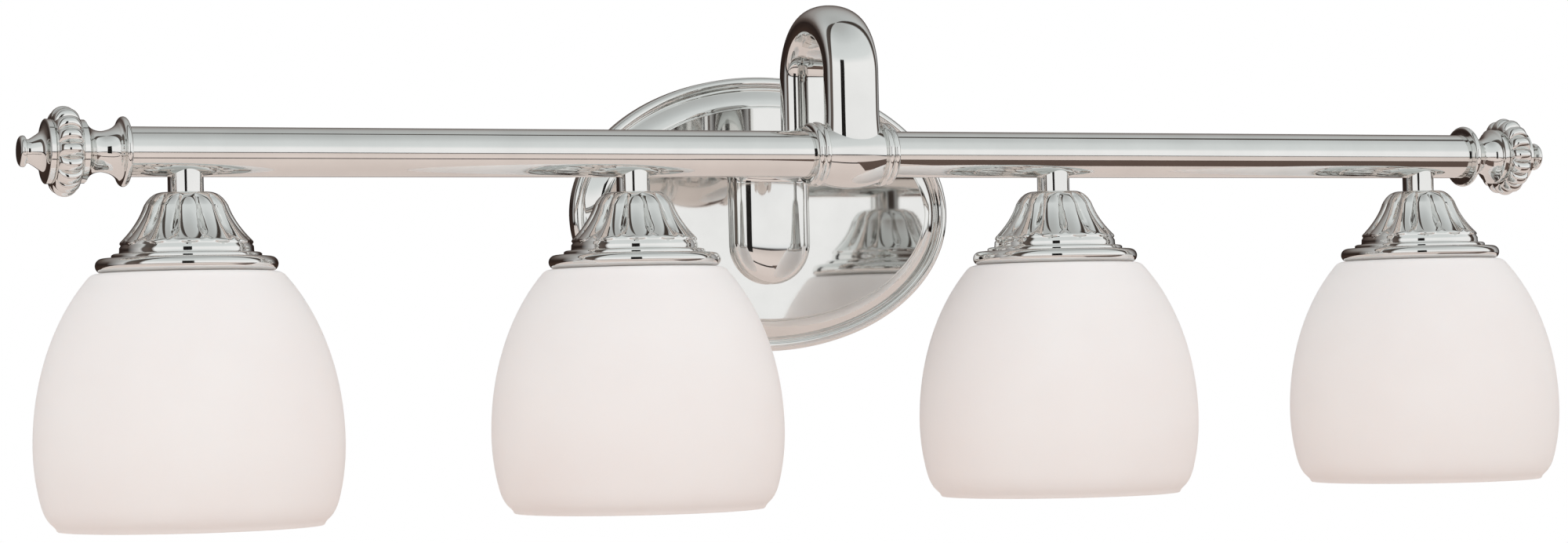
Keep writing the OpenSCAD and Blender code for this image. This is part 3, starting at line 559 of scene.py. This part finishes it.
# ---- Cross tube ----------------------------------------------------------------
# Two lengths of drawn tube, seamless and thin walled, that meet in the collar.
# They are polished along their length on a long belt and plated.
tube_start, tube_end = bar_low.x / MM, bar_high.x / MM
tube_bore = bar_radius - 1.2
tube_outline = [(tube_start, tube_bore), (tube_start, bar_radius), (tube_end - 0.3, bar_radius),
                (tube_end, bar_radius - 0.3), (tube_end, tube_bore), (tube_start, tube_bore)]
tube = turned(tube_outline, bar_axis, "X", steps=128)
shade_smooth(tube)
tube_left = copied(tube, (0, 0, 0), mirrored=True)
settle(tube, "bar_right_tube", nickel, "polished_nickel", "fixture", "bar_right")
settle(tube_left, "bar_left_tube", nickel, "polished_nickel", "fixture", "bar_left")

# ---- Finials -------------------------------------------------------------------
# Three pieces on a threaded rod at each end: a turned neck with a flared seat
# over the tube, a cast ring of lobes, and a turned cap with a small button.
def bend(a, b, c, steps):
    """Points of a bend from a to c that is drawn towards b, without its first point."""
    points = []
    for i in range(1, steps + 1):
        t = i / steps
        points.append(tuple(
            (1 - t) ** 2 * p + 2 * t * (1 - t) * q + t * t * s for p, q, s in zip(a, b, c)))
    return points


def pressed(piece, centre, axis, shape):
    """Moves each point of a turned piece in or out, to the radius that shape(angle, along, radius) gives."""
    along = AXES[axis]
    side = AXES["Z"] if axis == "X" else AXES["X"]
    other = along.cross(side)
    for vert in piece.data.vertices:
        rel = (vert.co - centre) / MM
        a = rel.dot(along)
        flat = rel - along * a
        radius = flat.length
        if radius > 1e-6:
            angle = math.atan2(flat.dot(other), flat.dot(side))
            new = shape(angle, a, radius)
            vert.co = centre + (along * a + flat * (new / radius)) * MM


finial_at = tube_end
seat = 2.6
flange = bar_radius + 4.4
neck_long, lobes_long = 19.0, 12.0
rod_bore = 2.6                                  # hole for the threaded rod
spigot = 6.0                                    # length of the neck inside the tube
lip = 1.5                                       # round of the flange's edge
neck_outline = [(-spigot, tube_bore - 0.1), (0.0, tube_bore - 0.1), (0.0, bar_radius + 0.1),
                (-seat, bar_radius + 0.1), (-seat + 0.3, flange - 1.9)]
neck_outline += [(-1.0 - lip * math.cos(math.radians(b)), flange - lip + lip * math.sin(math.radians(b)))
                 for b in range(20, 171, 15)]
neck_outline += bend((0.6, flange - 1.9), (0.9, flange - 2.6), (1.5, flange - 3.0), 3)
neck_outline += bend((1.5, flange - 3.0), (3.6, 9.6), (8.6, 9.0), 12)
neck_outline += bend((8.6, 9.0), (13.4, 9.0), (neck_long - 3.2, 12.9), 10)
neck_outline += [(neck_long - 2.9, 13.6), (neck_long - 2.6, 13.95), (neck_long - 0.4, 14.0),
                 (neck_long - 0.1, 13.7), (neck_long, 13.3), (neck_long, rod_bore),
                 (-spigot, rod_bore), (-spigot, tube_bore - 0.1)]
lobe_half = lobes_long / 2
lobe_low, lobe_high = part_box("finial_melon_right")
lobe_top = (lobe_high.z - lobe_low.z) / 2 / MM
lobe_root = 12.6
lobe_count = 16
lobe_outline = [(neck_long, rod_bore)]
lobe_outline += [(neck_long + lobe_half - lobe_half * math.cos(math.radians(b)),
                  lobe_root + (lobe_top - lobe_root) * math.sin(math.radians(b)) ** 0.8)
                 for b in range(0, 181, 6)]
lobe_outline += [(neck_long + lobes_long, rod_bore), (neck_long, rod_bore)]
cap_at = neck_long + lobes_long
cap_long = (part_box("finial_cap_right")[1].x / MM) - finial_at - cap_at
cap_end = cap_at + cap_long
cap_outline = [(cap_at, 0.0), (cap_at, 13.9), (cap_at + 0.3, 14.2), (cap_at + 2.3, 14.25),
               (cap_at + 2.6, 13.9)]
cap_outline += bend((cap_at + 2.6, 13.9), (cap_at + 3.2, 9.6), (cap_at + 5.2, 8.0), 10)
cap_outline += bend((cap_at + 5.2, 8.0), (cap_at + 7.4, 6.4), (cap_end - 4.6, 5.3), 8)
cap_outline += [(cap_end - 3.1, 5.2)]
cap_outline += [(cap_end - 2.0 - math.cos(math.radians(b)), 5.9 + math.sin(math.radians(b)))
                for b in range(0, 91, 15)]
cap_outline += bend((cap_end - 2.0, 6.9), (cap_end - 0.3, 6.9), (cap_end, 4.6), 8)
cap_outline += [(cap_end, 0.0)]


def lobed(angle, along, radius):
    """Sinks the valleys between the lobes, deepest round the middle of the ring."""
    if radius < lobe_root - 1:
        return radius
    # 1 on a lobe's back, 0 in a valley
    crest = abs((angle * lobe_count / math.tau) % 1 - 0.5) * 2
    from_middle = min(1.0, abs(along - neck_long - lobe_half) / lobe_half)
    deep = 2.7 * (1 - from_middle ** 3) + 0.3
    # A lobe's back is an arc of an ellipse, cut off short of its end by the fullness
    fullness = 0.88
    sunk = 1 - math.sqrt(1 - fullness * (1 - crest) ** 2)
    return radius - deep * sunk / (1 - math.sqrt(1 - fullness))


finial_centre = bar_axis + Vector((finial_at, 0, 0)) * MM
for part, outline, steps, node, rename in (
        ("neck", neck_outline, 96, "finial_neck", "finial_neck_{}_turned"),
        ("lobes", lobe_outline, lobe_count * 14, "finial_melon", "finial_lobes_{}_cast"),
        ("cap", cap_outline, 96, "finial_cap", "finial_cap_{}_turned")):
    piece = turned(outline, finial_centre, "X", steps)
    if part == "lobes":
        pressed(piece, finial_centre, "X", lobed)
    shade_smooth(piece, 38)
    left = copied(piece, (0, 0, 0), mirrored=True)
    for made, side in ((piece, "right"), (left, "left")):
        settle(made, rename.format(side), nickel, "polished_nickel", "fixture", f"{node}_{side}")

# ---- Stems ---------------------------------------------------------------------
# Short turned tubes under the bar. The top of each is cut to a saddle that sits
# round the tube, and a nipple inside pulls bar, stem and holder together.
lamps = (1, 2, 3, 4)
lamp_at = {n: sum(corner.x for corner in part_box(f"stem_{n}")) / 2 / MM for n in lamps}
stem_low, stem_high = (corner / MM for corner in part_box("stem_1"))
stem_radius = (stem_high.x - stem_low.x) / 2
stem_foot, stem_bore = stem_low.z - bar_z, 4.95
lamp_axis = Vector((lamp_at[1], bar_y, bar_z)) * MM


def row_of(piece, name, finish, slot, body, *nodes):
    """Copies the first lamp's piece to the other three, and settles all four."""
    row = [piece] + [copied(piece, ((lamp_at[n] - lamp_at[1]) * MM, 0, 0)) for n in lamps[1:]]
    for n, made in zip(lamps, row):
        settle(made, name.format(n), finish, slot, body.format(n), *[node.format(n) for node in nodes])


stem = turned([(stem_foot, stem_bore), (stem_foot, stem_radius - 0.2), (stem_foot + 0.2, stem_radius),
               (-4.0, stem_radius), (-4.0, stem_bore), (stem_foot, stem_bore)], lamp_axis, "Z", steps=96)
clear()
bpy.ops.mesh.primitive_cylinder_add(vertices=128, radius=bar_radius * MM, depth=60 * MM,
                                    location=lamp_axis, rotation=(0, math.pi / 2, 0))
cutter = bpy.context.object
saddle = stem.modifiers.new("saddle", "BOOLEAN")
saddle.object = cutter
saddle.operation = "DIFFERENCE"
bpy.context.view_layer.objects.active = stem
bpy.ops.object.modifier_apply(modifier="saddle")
bpy.data.objects.remove(cutter)
shade_smooth(stem)
row_of(stem, "stem_{}_turned", nickel, "polished_nickel", "fixture", "stem_{}")

# ---- Shade holders -------------------------------------------------------------
# Cast caps with twelve raised petals that spread down over a plain band, a small
# step and a rolled rim. The rim hides the top edge of the glass.
holder_low, holder_high = (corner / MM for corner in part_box("holder_1"))
holder_top = holder_high.z - bar_z
rim_radius = (holder_high.x - holder_low.x) / 2
petal_count = 12
petal_turn = {1: -12, 2: -19, 3: -3, 4: -26}    # degrees that each holder was turned when it was fitted
bell_top, bell_tall = 11.6, 23.3
band_radius, band_foot = 29.6, 26.7
step_radius, step_top, step_foot = 33.0, 27.2, 29.7
rim_bead = 3.3
rim_depth = 32.0
glass_top = 35.3                                # depth of the glass's top under the holder's top

# The petals' backs: a full shoulder, then a sweep outward. Each point is a depth
# below the holder's top, and a radius
bell = [(0.0, bell_top)] + bend((0.0, bell_top), (0.8, 15.9), (6.0, 18.6), 22)
bell += bend((6.0, 18.6), (14.0, 21.4), (21.6, 29.0), 34)
bell += bend((21.6, 29.0), (22.3, 29.5), (bell_tall, 29.5), 5)


def bell_skin(depth):
    """Radius of the petals' backs at a depth."""
    for (d0, r0), (d1, r1) in zip(bell, bell[1:]):
        if depth <= d1:
            return r0 + (r1 - r0) * max(0.0, depth - d0) / (d1 - d0)
    return bell[-1][1]


holder_outline = [(0.0, 5.0)] + bell
holder_outline += [(24.2, 29.45), (25.4, 29.5), (band_foot - 0.3, band_radius),
                   (band_foot, band_radius + 0.1)]
holder_outline += [(step_top - 0.35, step_radius - 0.9), (step_top - 0.1, step_radius - 0.4),
                   (step_top + 0.3, step_radius), (step_foot - 0.4, step_radius),
                   (step_foot - 0.1, step_radius - 0.2), (step_foot, step_radius + 0.4)]
holder_outline += [(rim_depth - rim_bead * math.cos(math.radians(b)),
                    rim_radius - rim_bead + rim_bead * math.sin(math.radians(b))) for b in range(10, 181, 10)]
holder_outline += [(glass_top, 33.6), (32.4, 33.2), (27.4, 26.8), (23.4, 26.2)]
holder_outline += bend((23.4, 26.2), (11.5, 18.6), (2.6, 8.6), 8)
holder_outline += [(2.6, 5.0), (0.0, 5.0)]


def petalled(angle, along, radius):
    """Shapes the bell into petals with round backs, a drop-shaped hollow between two and a scalloped foot."""
    depth = holder_top - along
    if depth > bell_tall + 0.1 or radius < bell_skin(depth) - 1.2 or depth < 0.05:
        return radius
    # 0 on a petal's back, 1 between two
    edge = 1 - abs((angle * petal_count / math.tau) % 1 - 0.5) * 2
    scallop = 22.8 - 2.8 * edge ** 2.2
    plain = 27.8 + 1.0 * between(0, 1, (depth - 19.0) / 4.3)
    sunk = 1.8 * edge ** 2.2 * between(0, 1, (depth - 0.2) / 2.4)
    along_drop = (depth - 2.6) / 16.6
    if 0 < along_drop < 1:
        half = 0.10 + 0.30 * along_drop ** 1.2 * (1 - along_drop ** 8)
        away = (1 - edge) / half
        if away < 1:
            sunk += 2.0 * (1 - away * away) ** 0.8 * math.sin(math.pi * along_drop ** 1.6) ** 0.6
    petal = radius - sunk
    foot = between(0, 1, (scallop + 0.5 - depth) / 1.0)
    return petal * foot + min(plain, radius) * (1 - foot) if depth > 18 else petal


holder = turned([(holder_top - depth, radius) for depth, radius in holder_outline], lamp_axis, "Z",
                steps=petal_count * 24)
holders = {1: holder}
for n in lamps[1:]:
    holders[n] = copied(holder, ((lamp_at[n] - lamp_at[1]) * MM, 0, 0))
for n in lamps:
    turned_by = math.radians(petal_turn[n] - 90)
    middle = Vector((lamp_at[n], bar_y, bar_z)) * MM
    pressed(holders[n], middle, "Z",
            lambda angle, along, radius: petalled(angle - turned_by, along, radius))
    shade_smooth(holders[n], 60)
    settle(holders[n], f"holder_{n}_cast", nickel, "polished_nickel", "fixture", f"holder_{n}")

# ---- Sockets and shade rings ---------------------------------------------------
# The socket is moulded in black phenolic, with a pressed brass screw shell inside.
# A ring in the same phenolic runs up a thread on it and holds the glass.

# Phenolic: nearly black, glossy from its mould, and soft at the edges of its sheen
phenolic, tree, shader, where = new_finish("moulded_phenolic")
mottle = add(tree, "ShaderNodeTexNoise", {"Vector": where, "Scale": 220.0, "Detail": 3.0})
dark = ramp(tree, mottle.outputs["Fac"], [(0.3, "#1b1716"), (0.7, "#292321")])
skin_gloss = add(tree, "ShaderNodeMapRange", {"Value": mottle.outputs["Fac"], "To Min": 0.22, "To Max": 0.38})
tree.links.new(dark, shader.inputs["Base Color"])
tree.links.new(skin_gloss.outputs["Result"], shader.inputs["Roughness"])

# Brass: bright yellow from the press, with light draw marks round the shell
brass, tree, shader, where = new_finish("pressed_brass")
draw = add(tree, "ShaderNodeTexNoise", {"Vector": where, "Scale": 350.0, "Detail": 2.0})
yellow = ramp(tree, draw.outputs["Fac"], [(0.3, "#c9a24c"), (0.7, "#dbb968")])
bright = add(tree, "ShaderNodeMapRange", {"Value": draw.outputs["Fac"], "To Min": 0.16, "To Max": 0.30})
shader.inputs["Metallic"].default_value = 1.0
tree.links.new(yellow, shader.inputs["Base Color"])
tree.links.new(bright.outputs["Result"], shader.inputs["Roughness"])

for n in lamps:
    coat(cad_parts[f"socket_body_{n}"], phenolic)
for name in ("socket_shells", "socket_contacts"):
    coat(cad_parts[name], brass)

ring_base, ring_crest = (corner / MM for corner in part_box("shade_ring_1"))
grip_low, grip_top = ring_base.z - bar_z, ring_crest.z - bar_z
grip_radius = (ring_crest.x - ring_base.x) / 2
thread_radius = grip_radius - 8.0
grip_outline = [(grip_top, thread_radius), (grip_top, grip_radius - 0.4), (grip_top - 0.4, grip_radius),
                (grip_top - 2.0, grip_radius), (grip_top - 2.4, grip_radius - 0.4)]
grip_outline += bend((grip_top - 2.4, grip_radius - 0.4), (grip_top - 2.8, thread_radius + 3.2),
                     (grip_top - 5.0, thread_radius + 2.6), 6)
grip_outline += [(grip_low + 0.4, thread_radius + 2.4), (grip_low, thread_radius + 2.0),
                 (grip_low, thread_radius), (grip_top, thread_radius)]
grip_ribs, rib_deep = 24, 0.7


def ribbed(angle, along, radius):
    """Sinks the finger grooves into the rim of the ring."""
    if radius <= grip_radius - 0.5:
        return radius
    return radius - rib_deep * max(0.0, math.sin(angle * grip_ribs)) ** 2


shade_ring = turned(grip_outline, lamp_axis, "Z", steps=grip_ribs * 6)
pressed(shade_ring, lamp_axis, "Z", ribbed)
shade_smooth(shade_ring)
row_of(shade_ring, "shade_ring_{}_moulded", phenolic, "phenolic", "fixture", "shade_ring_{}")

# ---- Glass shades --------------------------------------------------------------
# Mouth-blown opal glass, cased white and then etched, so that it is matt and a
# warm white. The mouth is cut and ground flat, and its edge is a little greyer.

# Etched opal: light sinks in and spreads, with only a soft sheen left on the skin
opal, tree, shader, where = new_finish("etched_opal_glass")
drift = add(tree, "ShaderNodeTexNoise", {"Vector": where, "Scale": 14.0, "Detail": 2.0})
etch = add(tree, "ShaderNodeTexNoise", {"Vector": where, "Scale": 1400.0, "Detail": 2.0})
milk = ramp(tree, drift.outputs["Fac"], [(0.3, "#f7efec"), (0.7, "#fbf5f2")])
matt = add(tree, "ShaderNodeMapRange", {"Value": etch.outputs["Fac"], "To Min": 0.48, "To Max": 0.60})
frost = add(tree, "ShaderNodeBump", {"Height": etch.outputs["Fac"], "Strength": 0.12, "Distance": 0.0001})
tree.links.new(milk, shader.inputs["Base Color"])
tree.links.new(matt.outputs["Result"], shader.inputs["Roughness"])
tree.links.new(frost.outputs["Normal"], shader.inputs["Normal"])
shader.inputs["IOR"].default_value = 1.5
shader.inputs["Specular IOR Level"].default_value = 0.35
shader.inputs["Subsurface Weight"].default_value = 0.5
shader.inputs["Subsurface Radius"].default_value = (1.0, 0.86, 0.8)
shader.inputs["Subsurface Scale"].default_value = 0.012

shade_low, shade_high = (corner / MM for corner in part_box("shade_1"))
belly = (shade_high.x - shade_low.x) / 2
shade_top = shade_high.z - bar_z
shade_tall = shade_high.z - shade_low.z
belly_depth, top_radius, glass, fitter = 76.2, 41.5, 3.2, 20.5
belly_z = shade_top - belly_depth
tuck = shade_tall - belly_depth                 # height of the glass below its widest line
upper = belly_depth / math.sqrt(1 - (top_radius / belly) ** 2)
lower = tuck * 2.29                             # half height of the ellipse below the belly
full = tuck * 0.655                             # how far down that ellipse goes
crown = math.acos(top_radius / belly) * 0.972   # angle where the round runs into the flat top
ground = 0.35                                   # break on the ground edge of the mouth


def low_side(radius, down):
    """Radius of the glass at a distance below the belly."""
    return radius * math.sqrt(1 - (down / lower) ** 2)


def high_side(radius, tall, angle):
    """Point of the glass at an angle above the belly, as (height, radius)."""
    return belly_z + tall * math.sin(angle), radius * math.cos(angle)


mouth_z, mouth_radius = shade_top - shade_tall, belly * 0.857
bore = mouth_radius - glass + 0.5
turn_in = (belly_z - tuck * 0.918, belly * 0.888)
shade_outline = [(shade_top, fitter), (shade_top, top_radius - 3.0)]
shade_outline += bend((shade_top, top_radius - 3.0), (shade_top, top_radius - 0.4),
                      high_side(belly, upper, crown), 5)
shade_outline += [high_side(belly, upper, crown * (1 - i / 40)) for i in range(1, 41)]
shade_outline += [(belly_z - full * i / 12, low_side(belly, full * i / 12)) for i in range(1, 13)]
shade_outline += bend(shade_outline[-1], (belly_z - tuck * 0.84, low_side(belly, full) - 1.6), turn_in, 8)
shade_outline += bend(turn_in, (mouth_z + 1.5, belly * 0.862), (mouth_z + ground, mouth_radius), 4)
shade_outline += [(mouth_z, mouth_radius - ground), (mouth_z, bore + ground), (mouth_z + ground, bore)]
shade_outline += bend((mouth_z + ground, bore), (mouth_z + 1.5, bore + 0.2),
                      (turn_in[0], turn_in[1] - glass - 0.1), 3)
inner, inner_upper = belly - glass, upper - glass / 2
shade_outline += bend(shade_outline[-1], (belly_z - tuck * 0.84, low_side(inner, full) - 1.2),
                      (belly_z - full, low_side(inner, full)), 6)
shade_outline += [(belly_z - full * i / 10, low_side(inner, full * i / 10)) for i in range(9, -1, -1)]
ceiling = glass + 0.4
inner_crown = math.asin((belly_depth - ceiling) / inner_upper)
shade_outline += [high_side(inner, inner_upper, inner_crown * i / 24) for i in range(1, 25)]
shade_outline += [(shade_top - ceiling, fitter), (shade_top, fitter)]
shade = turned(shade_outline, lamp_axis, "Z", steps=144)
shade_smooth(shade, 45)
row_of(shade, "shade_{}_blown", opal, "opal_glass", "fixture", "shade_{}")

# ---- Lamps ---------------------------------------------------------------------
# A frosted glass globe lamp with a pressed screw cap. The cap's thread is a
# rounded wave that runs round it as a helix, and a solder tip closes its end.
# The lamp turns out of its socket.

# Frosted lamp glass: white powder inside a clear wall, so it is pale and glossy
frosted, tree, shader, where = new_finish("frosted_lamp_glass")
powder = add(tree, "ShaderNodeTexNoise", {"Vector": where, "Scale": 40.0, "Detail": 2.0})
pale = ramp(tree, powder.outputs["Fac"], [(0.3, "#ecebe6"), (0.7, "#f4f3ef")])
tree.links.new(pale, shader.inputs["Base Color"])
shader.inputs["Roughness"].default_value = 0.22
shader.inputs["IOR"].default_value = 1.5
shader.inputs["Subsurface Weight"].default_value = 0.3
shader.inputs["Subsurface Scale"].default_value = 0.008

# Lamp cap: thin nickel-plated brass, bright but scuffed by its socket
cap_metal, tree, shader, where = new_finish("scuffed_cap_metal")
scuff = add(tree, "ShaderNodeTexNoise", {"Vector": where, "Scale": 260.0, "Detail": 3.0})
grey = ramp(tree, scuff.outputs["Fac"], [(0.3, "#b4b3b0"), (0.7, "#cac9c5")])
worn = add(tree, "ShaderNodeMapRange", {"Value": scuff.outputs["Fac"], "To Min": 0.18, "To Max": 0.40})
shader.inputs["Metallic"].default_value = 1.0
tree.links.new(grey, shader.inputs["Base Color"])
tree.links.new(worn.outputs["Result"], shader.inputs["Roughness"])

cap_base, cap_crest = (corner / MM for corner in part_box("lamp_cap_1"))
cap_top, cap_foot = cap_crest.z - bar_z, cap_base.z - bar_z
cap_radius = (cap_crest.x - cap_base.x) / 2
thread_pitch, thread_deep, thread_steps = 3.629, 0.75, 72
core = cap_radius - thread_deep
thread_start = cap_foot + 2.4
thread_turns = int((cap_top - 4.4 - thread_start) / thread_pitch)
clear()
wave = [(thread_start + thread_pitch * i / 10,
         core + thread_deep * (0.5 - 0.5 * math.cos(math.tau * i / 10))) for i in range(11)]
bpy.ops.mesh.primitive_plane_add(size=MM, enter_editmode=True)
thread = bpy.context.object
bpy.ops.mesh.merge(type="CENTER")
wave_points = [Vector((r, 0, a)) * MM for a, r in wave]
bpy.ops.transform.translate(value=wave_points[0])
for before, after in zip(wave_points, wave_points[1:]):
    bpy.ops.mesh.extrude_region_move(TRANSFORM_OT_translate={"value": after - before})
bpy.ops.object.mode_set(mode="OBJECT")
helix = thread.modifiers.new("thread", "SCREW")
helix.axis = "Z"
helix.steps = helix.render_steps = thread_steps
helix.iterations = thread_turns
helix.screw_offset = thread_pitch * MM
helix.use_merge_vertices = True
helix.merge_threshold = 5e-6
bpy.ops.object.modifier_apply(modifier="thread")
thread.data.transform(Matrix.Translation(lamp_axis))
cap_shell = turned([
    (cap_foot, 0.0), (cap_foot, cap_radius - 0.5), (cap_foot + 0.3, cap_radius - 0.1),
    (cap_foot + 1.0, cap_radius - 0.1), (cap_foot + 1.6, core + 0.02), (cap_top - 3.4, core + 0.02),
    (cap_top - 2.2, core - 0.8), (cap_top - 0.2, 9.8), (cap_top, 9.2), (cap_top, 0.0)],
    lamp_axis, "Z", steps=thread_steps)
clear()
thread.select_set(True)
cap_shell.select_set(True)
bpy.context.view_layer.objects.active = cap_shell
bpy.ops.object.join()
shade_smooth(cap_shell, 50)
row_of(cap_shell, "lamp_cap_{}_pressed", cap_metal, "lamp_cap_metal", "lamp_{}", "lamp_cap_{}")

globe_base, globe_crest = (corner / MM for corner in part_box("lamp_globe_1"))
globe_radius = (globe_crest.x - globe_base.x) / 2
globe_end = globe_base.z - bar_z
neck = cap_radius - 0.8
round_z = globe_end + globe_radius
waist = (neck + 0.45 * (globe_radius - neck), (cap_foot + round_z) / 2)
globe_outline = [(cap_foot + 1.0, 0.0), (cap_foot + 1.0, neck), (cap_foot, neck)]
globe_outline += bend((cap_foot, neck), (cap_foot - 12, neck + 0.6), (waist[1], waist[0]), 12)
globe_outline += bend((waist[1], waist[0]), (round_z + 13, globe_radius), (round_z, globe_radius), 12)
globe_outline += [(round_z + globe_radius * math.sin(math.radians(b)),
                   globe_radius * math.cos(math.radians(b))) for b in range(-5, -86, -5)]
globe_outline += [(globe_end, 0.0)]
globe = turned(globe_outline, lamp_axis, "Z", steps=96)
shade_smooth(globe, 50)
row_of(globe, "lamp_globe_{}_blown", frosted, "frosted_glass", "lamp_{}", "lamp_globe_{}")

# Solder tip: a soft grey bead of tin, dull where the contact rubs it
solder, tree, shader, where = new_finish("solder_tip")
bead = add(tree, "ShaderNodeTexNoise", {"Vector": where, "Scale": 700.0})
tin = ramp(tree, bead.outputs["Fac"], [(0.3, "#8d8e90"), (0.7, "#a5a6a8")])
shader.inputs["Metallic"].default_value = 1.0
shader.inputs["Roughness"].default_value = 0.35
tree.links.new(tin, shader.inputs["Base Color"])
for n in lamps:
    coat(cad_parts[f"lamp_tip_{n}"], solder)
